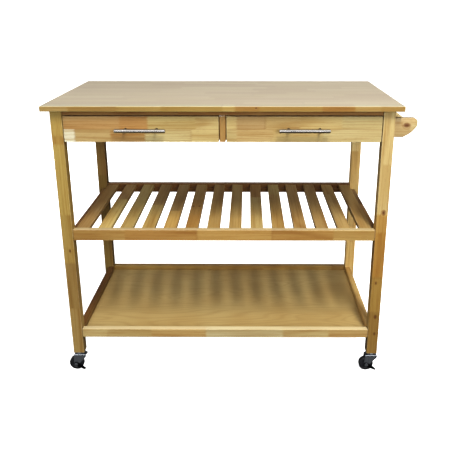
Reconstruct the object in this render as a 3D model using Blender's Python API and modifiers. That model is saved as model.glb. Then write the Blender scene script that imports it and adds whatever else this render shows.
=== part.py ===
"""Kitchen island cart of solid hardwood: a worktop on four square legs, two drawers under it,
a slatted shelf, a panelled lower shelf, a towel rail on the right-hand end and four stem casters.

Units are metres, +Z is up, -Y is the drawer side and +X is the towel rail side. The design is
drawn about the middle of the worktop, then moved so that the whole cart is centred on the origin,
standing on Z = 0.
"""
import math

import bmesh
import bpy
from mathutils import Vector

# Overall sizes
TOP_LENGTH = 1.100
TOP_DEPTH = 0.620
TOP_THICKNESS = 0.016
TOTAL_HEIGHT = 0.932
OVERHANG = 0.0225

# Fits
GAP = 0.0003
DRAWER_SIDE_CLEARANCE = 0.003
DRAWER_FRONT_CLEARANCE = 0.002
DRAWER_TOP_CLEARANCE = 0.0025
EDGE_ROUND = 0.0014

# Frame
LEG_SIZE = 0.036
RAIL_INSET = 0.003
RAIL_THICKNESS = 0.022
SIDE_RAIL_THICKNESS = 0.020
TOP_RAIL_HEIGHT = 0.0155
APRON_HEIGHT = 0.098
DIVIDER_THICKNESS = 0.019

# Slatted shelf
SLAT_SHELF_HEIGHT = 0.528
SLAT_RAIL_HEIGHT = 0.037
SLAT_SIDE_RAIL_HEIGHT = 0.030
SLAT_COUNT = 14
SLAT_WIDTH = 0.042
SLAT_THICKNESS = 0.015
SLAT_RECESS = 0.005
SLAT_END_MARGIN = 0.0025
HOUSING_DEPTH = 0.008

# Lower shelf
LOWER_SHELF_HEIGHT = 0.164
LOWER_RAIL_HEIGHT = 0.031
PANEL_THICKNESS = 0.006
PANEL_RECESS = 0.018
LEDGE_WIDTH = 0.008
LEDGE_THICKNESS = 0.006
LEDGE_TENON = 0.005

# Drawers
DRAWER_FRONT_THICKNESS = 0.019
DRAWER_FRONT_SETBACK = 0.001
DRAWER_BOARD = 0.012
DRAWER_SIDE_HEIGHT = 0.058
DRAWER_BACK_HEIGHT = 0.044
DRAWER_BOX_LENGTH = 0.450
DRAWER_BOTTOM_THICKNESS = 0.005
DRAWER_BOTTOM_RISE = 0.008
DRAWER_GROOVE_DEPTH = 0.006
RUNNER_WIDTH = 0.020
RUNNER_HEIGHT = 0.0127
RUNNER_RISE = 0.002
RUNNER_START = 0.006

# Bar handles
HANDLE_LENGTH = 0.156
HANDLE_CENTRES = 0.096
HANDLE_RADIUS = 0.006
HANDLE_POST_RADIUS = 0.0045
HANDLE_STANDOFF = 0.028

# Towel rail
BRACKET_THICKNESS = 0.020
BRACKET_REACH = 0.070
BRACKET_HEIGHT = 0.059
BRACKET_DROP = 0.024
BRACKET_NOSE_RADIUS = 0.013
BRACKET_NOSE_DROP = 0.0235
BRACKET_FOOT_REACH = 0.028
BRACKET_SWEEP_BULGE = 0.0045
ROD_RADIUS = 0.0125
ROD_REACH = 0.0365
ROD_DROP = 0.021
ROD_SOCKET_DEPTH = 0.010

# Casters
CASTER_HEIGHT = 0.072
WHEEL_RADIUS = 0.025
WHEEL_WIDTH = 0.0194
WHEEL_TREAD_ROUND = 0.0024
WHEEL_RIM = 0.0065
WHEEL_DISH = 0.0025
HUB_RADIUS = 0.009
CASTER_TRAIL = 0.015
STEM_RADIUS = 0.0055
STEM_LENGTH = 0.036
CUP_RADIUS = 0.018
CUP_HEIGHT = 0.0095
CUP_CHAMFER = 0.003
FORK_PLATE = 0.002
FORK_SHOULDER = 0.0085
FORK_SIDE_CLEARANCE = 0.0018
FORK_TOP_WIDTH = 0.042
FORK_AXLE_LUG = 0.008
AXLE_RADIUS = 0.004
AXLE_HEAD_RADIUS = 0.0065
AXLE_HEAD_HEIGHT = 0.0015
BRAKE_PLATE = 0.002
BRAKE_TIP_REACH = 0.032
BRAKE_TIP_DROP = 0.016
BRAKE_TIP_WIDTH = 0.0075
BRAKE_PEDAL_LENGTH = 0.012
BRAKE_PEDAL_WIDTH = 0.010

# Places that follow from the sizes above
LEG_OUT_X = TOP_LENGTH / 2 - OVERHANG
LEG_OUT_Y = TOP_DEPTH / 2 - OVERHANG
LEG_IN_X = LEG_OUT_X - LEG_SIZE
LEG_IN_Y = LEG_OUT_Y - LEG_SIZE
LEG_X = LEG_OUT_X - LEG_SIZE / 2
LEG_Y = LEG_OUT_Y - LEG_SIZE / 2
TOP_UNDERSIDE = TOTAL_HEIGHT - TOP_THICKNESS
FRAME_TOP = TOP_UNDERSIDE - GAP
RAIL_OUT_Y = LEG_OUT_Y - RAIL_INSET
RAIL_IN_Y = RAIL_OUT_Y - RAIL_THICKNESS
SIDE_RAIL_OUT_X = LEG_IN_X + SIDE_RAIL_THICKNESS
APRON_BOTTOM = TOP_UNDERSIDE - APRON_HEIGHT
SLAT_TOP = SLAT_SHELF_HEIGHT - SLAT_RECESS
SLAT_BOTTOM = SLAT_TOP - SLAT_THICKNESS
PANEL_TOP = LOWER_SHELF_HEIGHT - PANEL_RECESS
PANEL_BOTTOM = PANEL_TOP - PANEL_THICKNESS
DRAWER_FRONT_Y = -LEG_OUT_Y + DRAWER_FRONT_SETBACK
DRAWER_FRONT_BACK_Y = DRAWER_FRONT_Y + DRAWER_FRONT_THICKNESS
DRAWER_TOP = TOP_UNDERSIDE - TOP_RAIL_HEIGHT - DRAWER_TOP_CLEARANCE
DRAWER_MID_Z = (DRAWER_TOP + APRON_BOTTOM) / 2
HANDLE_Y = DRAWER_FRONT_Y - HANDLE_STANDOFF
RUNNER_TOP = APRON_BOTTOM + RUNNER_RISE + RUNNER_HEIGHT
BRACKET_TOP = TOP_UNDERSIDE - BRACKET_DROP
ROD_X = LEG_OUT_X + ROD_REACH
ROD_Z = BRACKET_TOP - ROD_DROP
FORK_IN_Y = WHEEL_WIDTH / 2 + FORK_SIDE_CLEARANCE
FORK_OUT_Y = FORK_IN_Y + FORK_PLATE
CUP_BOTTOM = CASTER_HEIGHT - GAP - CUP_HEIGHT

# The cart reaches further on the towel rail and handle sides, so its box is off centre.
RIGHT_REACH = LEG_OUT_X + GAP + BRACKET_REACH
LEFT_REACH = max(TOP_LENGTH / 2, LEG_X + CASTER_TRAIL + WHEEL_RADIUS)
FRONT_REACH = max(TOP_DEPTH / 2, HANDLE_RADIUS - HANDLE_Y)
BOX_CENTRE = Vector(((RIGHT_REACH - LEFT_REACH) / 2, (TOP_DEPTH / 2 - FRONT_REACH) / 2, 0))

HARDWOOD = (0.62, 0.40, 0.17)
TOP_WOOD = (0.72, 0.55, 0.34)
PLYWOOD = (0.66, 0.45, 0.22)
STEEL = (0.60, 0.59, 0.57)
CHROME = (0.78, 0.79, 0.80)
BLACK_RUBBER = (0.012, 0.012, 0.013)
BLACK_STEEL = (0.03, 0.03, 0.032)


# ---------------------------------------------------------------- scene and shared tools

for old in list(bpy.data.objects):
    bpy.data.objects.remove(old, do_unlink=True)

cart_parts = bpy.data.collections.new("kitchen_island_cart")
cutters = bpy.data.collections.new("cutters")
bpy.context.scene.collection.children.link(cart_parts)
bpy.context.scene.collection.children.link(cutters)


def empty(name, place=(0, 0, 0), parent=None):
    """A joint's or group's frame, at a place in the cart's drawing."""
    frame = bpy.data.objects.new(name, None)
    frame.empty_display_size = 0.03
    cart_parts.objects.link(frame)
    frame.parent = parent
    frame.location = Vector(place) - origin_of(parent)
    return frame


def origin_of(frame):
    """Where a frame's origin is in the cart's drawing."""
    place = Vector((0, 0, 0))
    while frame is not None and frame is not cart:
        place += frame.location
        frame = frame.parent
    return place


def finish(piece, colour, roughness, metallic):
    """The piece's own material."""
    material = bpy.data.materials.new(piece.name + "_finish")
    material.use_nodes = True
    shader = material.node_tree.nodes["Principled BSDF"]
    shader.inputs["Base Color"].default_value = (*colour, 1)
    shader.inputs["Roughness"].default_value = roughness
    shader.inputs["Metallic"].default_value = metallic
    piece.data.materials.clear()
    piece.data.materials.append(material)


def place_piece(name, mesh, place, parent, colour, roughness=0.45, metallic=0.0):
    """Link a named piece into the cart at a place in the drawing."""
    piece = bpy.data.objects.new(name, mesh)
    cart_parts.objects.link(piece)
    piece.parent = parent
    piece.location = Vector(place) - origin_of(parent)
    finish(piece, colour, roughness, metallic)
    return piece


def box_mesh(name, size):
    """A box of a given size about its own middle."""
    mesh = bpy.data.meshes.new(name)
    shape = bmesh.new()
    bmesh.ops.create_cube(shape, size=1)
    bmesh.ops.scale(shape, vec=size, verts=shape.verts)
    shape.to_mesh(mesh)
    shape.free()
    return mesh


def cylinder_mesh(name, radius, length, sides=24):
    """A closed cylinder about its own middle, along Z."""
    mesh = bpy.data.meshes.new(name)
    shape = bmesh.new()
    bmesh.ops.create_cone(shape, cap_ends=True, segments=sides, radius1=radius, radius2=radius, depth=length)
    shape.to_mesh(mesh)
    shape.free()
    return mesh


def round_edges(piece, width, segments=2):
    """Ease the sharp edges of a piece."""
    bevel = piece.modifiers.new("eased_edges", "BEVEL")
    bevel.width = width
    bevel.segments = segments
    bevel.limit_method = "ANGLE"
    bevel.angle_limit = math.radians(40)


def tool(name, mesh, place, parent):
    """A shape that cuts a piece or is joined to it, kept out of the cart itself."""
    shape = bpy.data.objects.new(name, mesh)
    cutters.objects.link(shape)
    shape.parent = parent
    shape.location = Vector(place) - origin_of(parent)
    shape.hide_render = True
    shape.display_type = "WIRE"
    return shape


def boolean(piece, shape, operation):
    """Cut a piece with a tool, or join the tool to it."""
    step = piece.modifiers.new(operation.lower() + "_" + shape.name, "BOOLEAN")
    step.operation = operation
    step.object = shape
    step.solver = "EXACT"


def board(name, low, high, parent, colour=HARDWOOD, segments=2, grooves=()):
    """A planed board between two corners, with its edges eased and any grooves cut in it."""
    low = Vector(low)
    high = Vector(high)
    piece = place_piece(name, box_mesh(name, high - low), (low + high) / 2, parent, colour)
    round_edges(piece, EDGE_ROUND, segments)
    for number, (groove_low, groove_high) in enumerate(grooves, 1):
        groove_low = Vector(groove_low)
        groove_high = Vector(groove_high)
        groove = tool(f"{name}_groove_{number}", box_mesh("groove", groove_high - groove_low),
                      (groove_low + groove_high) / 2, parent)
        boolean(piece, groove, "DIFFERENCE")
    return piece


def settled_mesh(piece, name):
    """The mesh of an object or curve as its modifiers leave it, with its seams welded."""
    bpy.context.view_layer.update()
    depsgraph = bpy.context.evaluated_depsgraph_get()
    mesh = bpy.data.meshes.new_from_object(piece.evaluated_get(depsgraph), depsgraph=depsgraph)
    mesh.name = name
    shape = bmesh.new()
    shape.from_mesh(mesh)
    bmesh.ops.remove_doubles(shape, verts=shape.verts, dist=0.00001)
    bmesh.ops.recalc_face_normals(shape, faces=shape.faces)
    shape.to_mesh(mesh)
    shape.free()
    return mesh


def outline_mesh(name, points, thickness):
    """A flat outline of given thickness, drawn in X and Y and centred on Z = 0."""
    curve = bpy.data.curves.new(name, "CURVE")
    curve.dimensions = "2D"
    curve.fill_mode = "BOTH"
    curve.extrude = thickness / 2
    spline = curve.splines.new("POLY")
    spline.points.add(len(points) - 1)
    for point, (x, y) in zip(spline.points, points):
        point.co = (x, y, 0, 1)
    spline.use_cyclic_u = True
    outline = bpy.data.objects.new(name, curve)
    cutters.objects.link(outline)
    mesh = settled_mesh(outline, name)
    bpy.data.objects.remove(outline, do_unlink=True)
    return mesh


def upright(mesh):
    """Stand a flat outline up, so that its Y becomes Z and it faces the drawer side."""
    shape = bmesh.new()
    shape.from_mesh(mesh)
    for vertex in shape.verts:
        x, y, z = vertex.co
        vertex.co = (x, -z, y)
    shape.to_mesh(mesh)
    shape.free()
    return mesh


def turned_mesh(name, profile, steps=24, closed=False):
    """A profile of (radius, height) points turned about Z."""
    mesh = bpy.data.meshes.new(name)
    shape = bmesh.new()
    corners = [shape.verts.new((radius, 0, height)) for radius, height in profile]
    for first, second in zip(corners, corners[1:]):
        shape.edges.new((first, second))
    if closed:
        shape.edges.new((corners[-1], corners[0]))
    shape.to_mesh(mesh)
    shape.free()
    blank = bpy.data.objects.new(name, mesh)
    cutters.objects.link(blank)
    screw = blank.modifiers.new("turned", "SCREW")
    screw.axis = "Z"
    screw.steps = steps
    screw.render_steps = steps
    screw.use_merge_vertices = True
    screw.merge_threshold = 0.00001
    turned = settled_mesh(blank, name)
    bpy.data.objects.remove(blank, do_unlink=True)
    return turned


def arc(centre, radius, start, end, steps):
    """Points of an arc, with angles in degrees from +X."""
    points = []
    for number in range(steps + 1):
        angle = math.radians(start + (end - start) * number / steps)
        points.append((centre[0] + radius * math.cos(angle), centre[1] + radius * math.sin(angle)))
    return points


def smooth(piece):
    """Smooth shading on a round piece, with its real corners kept sharp."""
    piece.data.shade_smooth()
    piece.data.set_sharp_from_angle(angle=math.radians(35))


cart = None
cart = empty("cart")
cart.location = -BOX_CENTRE


# ---------------------------------------------------------------- worktop and legs

top = board("worktop", (-TOP_LENGTH / 2, -TOP_DEPTH / 2, TOP_UNDERSIDE),
            (TOP_LENGTH / 2, TOP_DEPTH / 2, TOTAL_HEIGHT), cart, TOP_WOOD)

CORNERS = {
    "front_left": (-1, -1),
    "front_right": (1, -1),
    "rear_left": (-1, 1),
    "rear_right": (1, 1),
}

for corner, (side, end) in CORNERS.items():
    x = side * LEG_X
    y = end * LEG_Y
    leg = board("leg_" + corner, (x - LEG_SIZE / 2, y - LEG_SIZE / 2, CASTER_HEIGHT),
                (x + LEG_SIZE / 2, y + LEG_SIZE / 2, FRAME_TOP), cart)
    socket_depth = STEM_LENGTH + GAP
    socket = tool("stem_socket_" + corner,
                  cylinder_mesh("stem_socket", STEM_RADIUS + GAP, 2 * socket_depth, 20),
                  (x, y, CASTER_HEIGHT), cart)
    boolean(leg, socket, "DIFFERENCE")


# ---------------------------------------------------------------- top frame

rail_end_x = LEG_IN_X - GAP
rail_end_y = LEG_IN_Y - GAP
board("top_front_rail", (-rail_end_x, -RAIL_OUT_Y, TOP_UNDERSIDE - TOP_RAIL_HEIGHT),
      (rail_end_x, -RAIL_IN_Y, FRAME_TOP), cart)
board("back_apron", (-rail_end_x, RAIL_IN_Y, APRON_BOTTOM), (rail_end_x, RAIL_OUT_Y, FRAME_TOP), cart)

for side, word in ((-1, "left"), (1, "right")):
    near, far = sorted((side * LEG_IN_X, side * SIDE_RAIL_OUT_X))
    board(word + "_apron", (near, -rail_end_y, APRON_BOTTOM), (far, rail_end_y, FRAME_TOP), cart)
    near, far = sorted((side * (LEG_IN_X - GAP), side * (LEG_IN_X - GAP - RUNNER_WIDTH)))
    board(word + "_drawer_runner",
          (near, DRAWER_FRONT_BACK_Y + RUNNER_START, APRON_BOTTOM + RUNNER_RISE),
          (far, RAIL_IN_Y - GAP, RUNNER_TOP), cart, segments=1)

# The divider carries the inner sides of both drawers on a strip glued along its foot.
divider_half = DIVIDER_THICKNESS / 2
divider = board("centre_divider", (-divider_half, DRAWER_FRONT_Y, APRON_BOTTOM),
                (divider_half, RAIL_IN_Y - GAP, TOP_UNDERSIDE - TOP_RAIL_HEIGHT - GAP), cart)
strip_half = divider_half + RUNNER_WIDTH
strip_start = DRAWER_FRONT_BACK_Y + RUNNER_START
strip_end = RAIL_IN_Y - GAP - EDGE_ROUND
strip = tool("centre_runner_strip",
             box_mesh("centre_runner_strip", (2 * strip_half, strip_end - strip_start, RUNNER_HEIGHT)),
             (0, (strip_start + strip_end) / 2, RUNNER_TOP - RUNNER_HEIGHT / 2), cart)
boolean(divider, strip, "UNION")


# ---------------------------------------------------------------- slatted shelf

for side, word in ((-1, "front"), (1, "back")):
    low_y, high_y = sorted((side * RAIL_OUT_Y, side * RAIL_IN_Y))
    groove_y = sorted((side * (RAIL_IN_Y - HOUSING_DEPTH), side * (RAIL_IN_Y + HOUSING_DEPTH)))
    groove = ((-LEG_IN_X, groove_y[0], SLAT_BOTTOM - GAP), (LEG_IN_X, groove_y[1], SLAT_TOP + GAP))
    board(f"slat_shelf_{word}_rail", (-rail_end_x, low_y, SLAT_SHELF_HEIGHT - SLAT_RAIL_HEIGHT),
          (rail_end_x, high_y, SLAT_SHELF_HEIGHT), cart, grooves=(groove,))
for side, word in ((-1, "left"), (1, "right")):
    near, far = sorted((side * LEG_IN_X, side * SIDE_RAIL_OUT_X))
    board(f"slat_shelf_{word}_rail", (near, -rail_end_y, SLAT_BOTTOM - SLAT_SIDE_RAIL_HEIGHT),
          (far, rail_end_y, SLAT_BOTTOM), cart)

slat_half_length = RAIL_IN_Y + HOUSING_DEPTH - GAP
first_slat_x = -LEG_IN_X + SLAT_END_MARGIN + SLAT_WIDTH / 2
slat_pitch = -2 * first_slat_x / (SLAT_COUNT - 1)
for number in range(SLAT_COUNT):
    x = first_slat_x + number * slat_pitch
    board(f"shelf_slat_{number + 1:02d}", (x - SLAT_WIDTH / 2, -slat_half_length, SLAT_BOTTOM),
          (x + SLAT_WIDTH / 2, slat_half_length, SLAT_TOP), cart, segments=1)


# ---------------------------------------------------------------- lower shelf

def ledged_rail(name, low, high, ledge_low, ledge_high):
    """A shelf rail with a thin ledge tongued into its inner face, which carries the panel's edge."""
    rail = board(name, low, high, cart)
    ledge_low = Vector(ledge_low)
    ledge_high = Vector(ledge_high)
    ledge = tool(f"{name}_ledge", box_mesh("ledge", ledge_high - ledge_low), (ledge_low + ledge_high) / 2, cart)
    boolean(rail, ledge, "UNION")


LOWER_RAIL_BOTTOM = LOWER_SHELF_HEIGHT - LOWER_RAIL_HEIGHT
LEDGE_TOP = PANEL_BOTTOM - GAP
LEDGE_BOTTOM = LEDGE_TOP - LEDGE_THICKNESS
for side, word in ((-1, "front"), (1, "back")):
    low_y, high_y = sorted((side * RAIL_OUT_Y, side * RAIL_IN_Y))
    ledge_y = sorted((side * (RAIL_IN_Y - LEDGE_WIDTH), side * (RAIL_IN_Y + LEDGE_TENON)))
    ledge_x = LEG_IN_X - LEDGE_WIDTH - GAP
    ledged_rail(f"lower_shelf_{word}_rail", (-rail_end_x, low_y, LOWER_RAIL_BOTTOM),
                (rail_end_x, high_y, LOWER_SHELF_HEIGHT),
                (-ledge_x, ledge_y[0], LEDGE_BOTTOM), (ledge_x, ledge_y[1], LEDGE_TOP))
for side, word in ((-1, "left"), (1, "right")):
    near, far = sorted((side * LEG_IN_X, side * SIDE_RAIL_OUT_X))
    ledge_x = sorted((side * (LEG_IN_X - LEDGE_WIDTH), side * (LEG_IN_X + LEDGE_TENON)))
    ledged_rail(f"lower_shelf_{word}_rail", (near, -rail_end_y, LOWER_RAIL_BOTTOM),
                (far, rail_end_y, LOWER_SHELF_HEIGHT),
                (ledge_x[0], -LEG_IN_Y, LEDGE_BOTTOM), (ledge_x[1], LEG_IN_Y, LEDGE_TOP))

# The panel drops in between the rails and lies on their ledges.
panel_x = LEG_IN_X - GAP
panel_y = RAIL_IN_Y - GAP
board("lower_shelf_panel", (-panel_x, -panel_y, PANEL_BOTTOM), (panel_x, panel_y, PANEL_TOP), cart,
      colour=PLYWOOD, segments=1)


# ---------------------------------------------------------------- drawers

def handle_mesh():
    """A round bar on two posts, reaching forward from the drawer front's face at Y = 0."""
    blank = bpy.data.objects.new("bar_handle", cylinder_mesh("bar", HANDLE_RADIUS, HANDLE_LENGTH, 20))
    cutters.objects.link(blank)
    blank.rotation_euler = (0, math.radians(90), 0)
    blank.location = (0, -HANDLE_STANDOFF, 0)
    round_edges(blank, 0.0008, 1)
    posts = []
    for side in (-1, 1):
        post = bpy.data.objects.new("post", cylinder_mesh("post", HANDLE_POST_RADIUS, HANDLE_STANDOFF - GAP, 16))
        cutters.objects.link(post)
        post.rotation_euler = (math.radians(90), 0, 0)
        post.location = (side * HANDLE_CENTRES / 2, -(HANDLE_STANDOFF + GAP) / 2, 0)
        boolean(blank, post, "UNION")
        posts.append(post)
    mesh = settled_mesh(blank, "bar_handle")
    mesh.transform(blank.matrix_world)
    for spent in posts + [blank]:
        bpy.data.objects.remove(spent, do_unlink=True)
    return mesh


bar_handle = handle_mesh()

for side, word in ((-1, "left"), (1, "right")):
    opening_in = divider_half
    opening_out = LEG_IN_X
    middle_x = side * (opening_in + opening_out) / 2
    drawer = empty(word + "_drawer", (middle_x, DRAWER_FRONT_Y, DRAWER_MID_Z), cart)

    front_half = (opening_out - opening_in) / 2 - DRAWER_FRONT_CLEARANCE
    box_half = (opening_out - opening_in) / 2 - DRAWER_SIDE_CLEARANCE
    box_low = RUNNER_TOP + GAP
    box_start = DRAWER_FRONT_BACK_Y + GAP
    box_end = box_start + DRAWER_BOX_LENGTH
    bottom_low = box_low + DRAWER_BOTTOM_RISE
    bottom_high = bottom_low + DRAWER_BOTTOM_THICKNESS
    groove_half = box_half - DRAWER_BOARD + DRAWER_GROOVE_DEPTH

    front_groove = ((middle_x - groove_half, DRAWER_FRONT_BACK_Y - DRAWER_GROOVE_DEPTH, bottom_low - GAP),
                    (middle_x + groove_half, DRAWER_FRONT_BACK_Y + DRAWER_GROOVE_DEPTH, bottom_high + GAP))
    board(word + "_drawer_front", (middle_x - front_half, DRAWER_FRONT_Y, APRON_BOTTOM),
          (middle_x + front_half, DRAWER_FRONT_BACK_Y, DRAWER_TOP), drawer, grooves=(front_groove,))

    for hand, hand_word in ((-1, "left"), (1, "right")):
        side_x = sorted((middle_x + hand * box_half, middle_x + hand * (box_half - DRAWER_BOARD)))
        inner_x = middle_x + hand * (box_half - DRAWER_BOARD)
        groove_x = sorted((inner_x - DRAWER_GROOVE_DEPTH, inner_x + DRAWER_GROOVE_DEPTH))
        side_groove = ((groove_x[0], box_start - DRAWER_BOARD, bottom_low - GAP),
                       (groove_x[1], box_end + DRAWER_BOARD, bottom_high + GAP))
        board(f"{word}_drawer_{hand_word}_side", (side_x[0], box_start, box_low),
              (side_x[1], box_end, box_low + DRAWER_SIDE_HEIGHT), drawer, segments=1,
              grooves=(side_groove,))

    back_half = box_half - DRAWER_BOARD - GAP
    board(word + "_drawer_back", (middle_x - back_half, box_end - DRAWER_BOARD, bottom_high + GAP),
          (middle_x + back_half, box_end, bottom_high + GAP + DRAWER_BACK_HEIGHT), drawer, segments=1)

    bottom_half = groove_half - GAP
    bottom_start = DRAWER_FRONT_BACK_Y - DRAWER_GROOVE_DEPTH + GAP
    bottom_size = (2 * bottom_half, box_end - bottom_start, DRAWER_BOTTOM_THICKNESS)
    place_piece(word + "_drawer_bottom", box_mesh("drawer_bottom", bottom_size),
                (middle_x, (bottom_start + box_end) / 2, (bottom_low + bottom_high) / 2), drawer, PLYWOOD)

    handle = place_piece(word + "_drawer_handle", bar_handle.copy(),
                         (middle_x, DRAWER_FRONT_Y, DRAWER_MID_Z), drawer, STEEL, 0.3, 1.0)
    smooth(handle)


# ---------------------------------------------------------------- towel rail

def bracket_outline():
    """The bracket from the leg outwards: square at the leg, round-nosed, swept up underneath."""
    nose = (BRACKET_REACH - BRACKET_NOSE_RADIUS, BRACKET_HEIGHT - BRACKET_NOSE_RADIUS)
    points = [(0, 0)]
    start = Vector((BRACKET_FOOT_REACH, 0))
    end = Vector((BRACKET_REACH, BRACKET_HEIGHT - BRACKET_NOSE_DROP))
    bulge = Vector((end.y - start.y, start.x - end.x)).normalized() * BRACKET_SWEEP_BULGE
    steps = 8
    for number in range(steps + 1):
        share = number / steps
        point = start.lerp(end, share) + bulge * math.sin(math.pi * share)
        points.append((point.x, point.y))
    points += arc(nose, BRACKET_NOSE_RADIUS, 0, 90, 6)
    points.append((0, BRACKET_HEIGHT))
    return points


bracket_mesh = upright(outline_mesh("towel_bracket", bracket_outline(), BRACKET_THICKNESS))
bracket_x = LEG_OUT_X + GAP
socket_floor_y = LEG_Y - BRACKET_THICKNESS / 2 + ROD_SOCKET_DEPTH
for end, word in ((-1, "front"), (1, "rear")):
    y = end * LEG_Y
    bracket = place_piece(f"towel_bracket_{word}", bracket_mesh.copy(),
                          (bracket_x, y, BRACKET_TOP - BRACKET_HEIGHT), cart, HARDWOOD)
    round_edges(bracket, EDGE_ROUND, 1)
    rod_socket = tool(f"rod_socket_{word}",
                      cylinder_mesh("rod_socket", ROD_RADIUS + GAP, 2 * ROD_SOCKET_DEPTH, 28),
                      (ROD_X, end * (LEG_Y - BRACKET_THICKNESS / 2), ROD_Z), cart)
    rod_socket.rotation_euler = (math.radians(90), 0, 0)
    boolean(bracket, rod_socket, "DIFFERENCE")

rod = place_piece("towel_rod", cylinder_mesh("towel_rod", ROD_RADIUS, 2 * (socket_floor_y - GAP), 28),
                  (ROD_X, 0, ROD_Z), cart, HARDWOOD)
rod.rotation_euler = (math.radians(90), 0, 0)
smooth(rod)


# ---------------------------------------------------------------- casters

def fork_outline():
    """One cheek of the fork, wide at the crown and tapering to a round lug at the axle."""
    top_z = CUP_BOTTOM - WHEEL_RADIUS
    half = FORK_TOP_WIDTH / 2
    lug = arc((-CASTER_TRAIL, 0), FORK_AXLE_LUG, 165, 330, 8)
    shoulder_z = top_z - FORK_SHOULDER
    return [(half, top_z), (-half, top_z), (-half, shoulder_z)] + lug + [(half, shoulder_z)]


def fork_mesh(head_y):
    """Stem, bearing cup, fork and riveted axle, about the swivel axis, with Z = 0 at the axle.

    head_y is how far the axle's head stands from the wheel's middle on the drawer side.
    """
    up = WHEEL_RADIUS
    stem_top = CASTER_HEIGHT + STEM_LENGTH - up
    cup_top = CASTER_HEIGHT - GAP - up
    cup_low = CUP_BOTTOM - up
    cup_foot = cup_low - FORK_PLATE / 2
    profile = [(0, stem_top), (0.8 * STEM_RADIUS, stem_top), (STEM_RADIUS, stem_top - STEM_RADIUS / 3),
               (STEM_RADIUS, cup_top), (CUP_RADIUS - CUP_CHAMFER, cup_top),
               (CUP_RADIUS, cup_top - CUP_CHAMFER), (CUP_RADIUS, cup_low + CUP_CHAMFER / 2),
               (CUP_RADIUS - CUP_CHAMFER, cup_foot), (0, cup_foot)]
    blank = bpy.data.objects.new("caster_fork", turned_mesh("caster_fork", profile, 24))
    cutters.objects.link(blank)
    cheek = upright(outline_mesh("cheek", fork_outline(), FORK_PLATE))
    crown_size = (FORK_TOP_WIDTH, 2 * FORK_OUT_Y, FORK_PLATE)
    pieces = [("crown", box_mesh("crown", crown_size), (0, 0, cup_low - FORK_PLATE / 2), None)]
    for end in (-1, 1):
        pieces.append(("cheek", cheek, (0, end * (FORK_IN_Y + FORK_PLATE / 2), 0), None))
    front_head_y = -head_y - AXLE_HEAD_HEIGHT / 2
    rear_head_y = FORK_OUT_Y + AXLE_HEAD_HEIGHT / 4
    across = (math.radians(90), 0, 0)
    pieces.append(("axle", cylinder_mesh("axle", AXLE_RADIUS, rear_head_y - front_head_y, 16),
                   (-CASTER_TRAIL, (front_head_y + rear_head_y) / 2, 0), across))
    for head_place in (front_head_y, rear_head_y):
        pieces.append(("head", cylinder_mesh("head", AXLE_HEAD_RADIUS, AXLE_HEAD_HEIGHT, 16),
                       (-CASTER_TRAIL, head_place, 0), across))
    spent = [blank]
    for name, mesh, place, turn in pieces:
        shape = bpy.data.objects.new(name, mesh)
        cutters.objects.link(shape)
        shape.location = place
        if turn:
            shape.rotation_euler = turn
        boolean(blank, shape, "UNION")
        spent.append(shape)
    mesh = settled_mesh(blank, "caster_fork")
    for shape in spent:
        bpy.data.objects.remove(shape, do_unlink=True)
    return mesh


def wheel_profile():
    """The section of a solid-tyred wheel, from the tread round to the bore."""
    half = WHEEL_WIDTH / 2
    side = [(WHEEL_RADIUS - WHEEL_TREAD_ROUND, half),
            (WHEEL_RADIUS - WHEEL_TREAD_ROUND / 4, half - WHEEL_TREAD_ROUND),
            (WHEEL_RADIUS, half - 2 * WHEEL_TREAD_ROUND)]
    rim_radius = WHEEL_RADIUS - WHEEL_RIM
    rim = [(rim_radius, half), (rim_radius - WHEEL_DISH / 2, half - WHEEL_DISH),
           (HUB_RADIUS + WHEEL_DISH / 4, half - WHEEL_DISH), (HUB_RADIUS, half),
           (AXLE_RADIUS + GAP, half)]
    outer = side + [(radius, -height) for radius, height in reversed(side)]
    inner = [(radius, -height) for radius, height in rim] + list(reversed(rim))
    return outer + inner


def brake_mesh():
    """A pressed brake lever, about the axle: an arm beside the fork with a pedal folded outwards."""
    tip = Vector((BRAKE_TIP_REACH, -BRAKE_TIP_DROP))
    along = tip.normalized()
    across = Vector((-along.y, along.x))
    heading = math.degrees(math.atan2(along.y, along.x))
    lug = arc((0, 0), FORK_AXLE_LUG, heading + 75, heading + 285, 9)
    under_tip = tip - across * BRAKE_TIP_WIDTH * 0.6
    upper_tip = tip + across * BRAKE_TIP_WIDTH * 0.4
    point = tip + along * BRAKE_PLATE
    arm_points = lug + [tuple(under_tip), tuple(point), tuple(upper_tip)]
    arm = bpy.data.objects.new("brake_lever", upright(outline_mesh("brake_lever", arm_points, BRAKE_PLATE)))
    cutters.objects.link(arm)
    pedal_size = (BRAKE_PEDAL_LENGTH, BRAKE_PEDAL_WIDTH, BRAKE_PLATE)
    pedal = bpy.data.objects.new("pedal", box_mesh("pedal", pedal_size))
    cutters.objects.link(pedal)
    pedal.rotation_euler = (0, -math.radians(heading), 0)
    middle = tip - along * BRAKE_PEDAL_LENGTH * 0.52
    pedal.location = (middle.x, (BRAKE_PLATE - BRAKE_PEDAL_WIDTH) / 2, middle.y)
    hole = bpy.data.objects.new("hole", cylinder_mesh("hole", AXLE_RADIUS + GAP, 4 * BRAKE_PLATE, 20))
    cutters.objects.link(hole)
    hole.rotation_euler = (math.radians(90), 0, 0)
    boolean(arm, pedal, "UNION")
    boolean(arm, hole, "DIFFERENCE")
    mesh = settled_mesh(arm, "brake_lever")
    for shape in (arm, pedal, hole):
        bpy.data.objects.remove(shape, do_unlink=True)
    return mesh


brake_y = FORK_OUT_Y + GAP + BRAKE_PLATE / 2
braked_fork = fork_mesh(FORK_OUT_Y + 2 * GAP + BRAKE_PLATE)
plain_fork = fork_mesh(FORK_OUT_Y - AXLE_HEAD_HEIGHT / 4)
wheel = turned_mesh("caster_wheel", wheel_profile(), 24, closed=True)
lever = brake_mesh()

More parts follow.
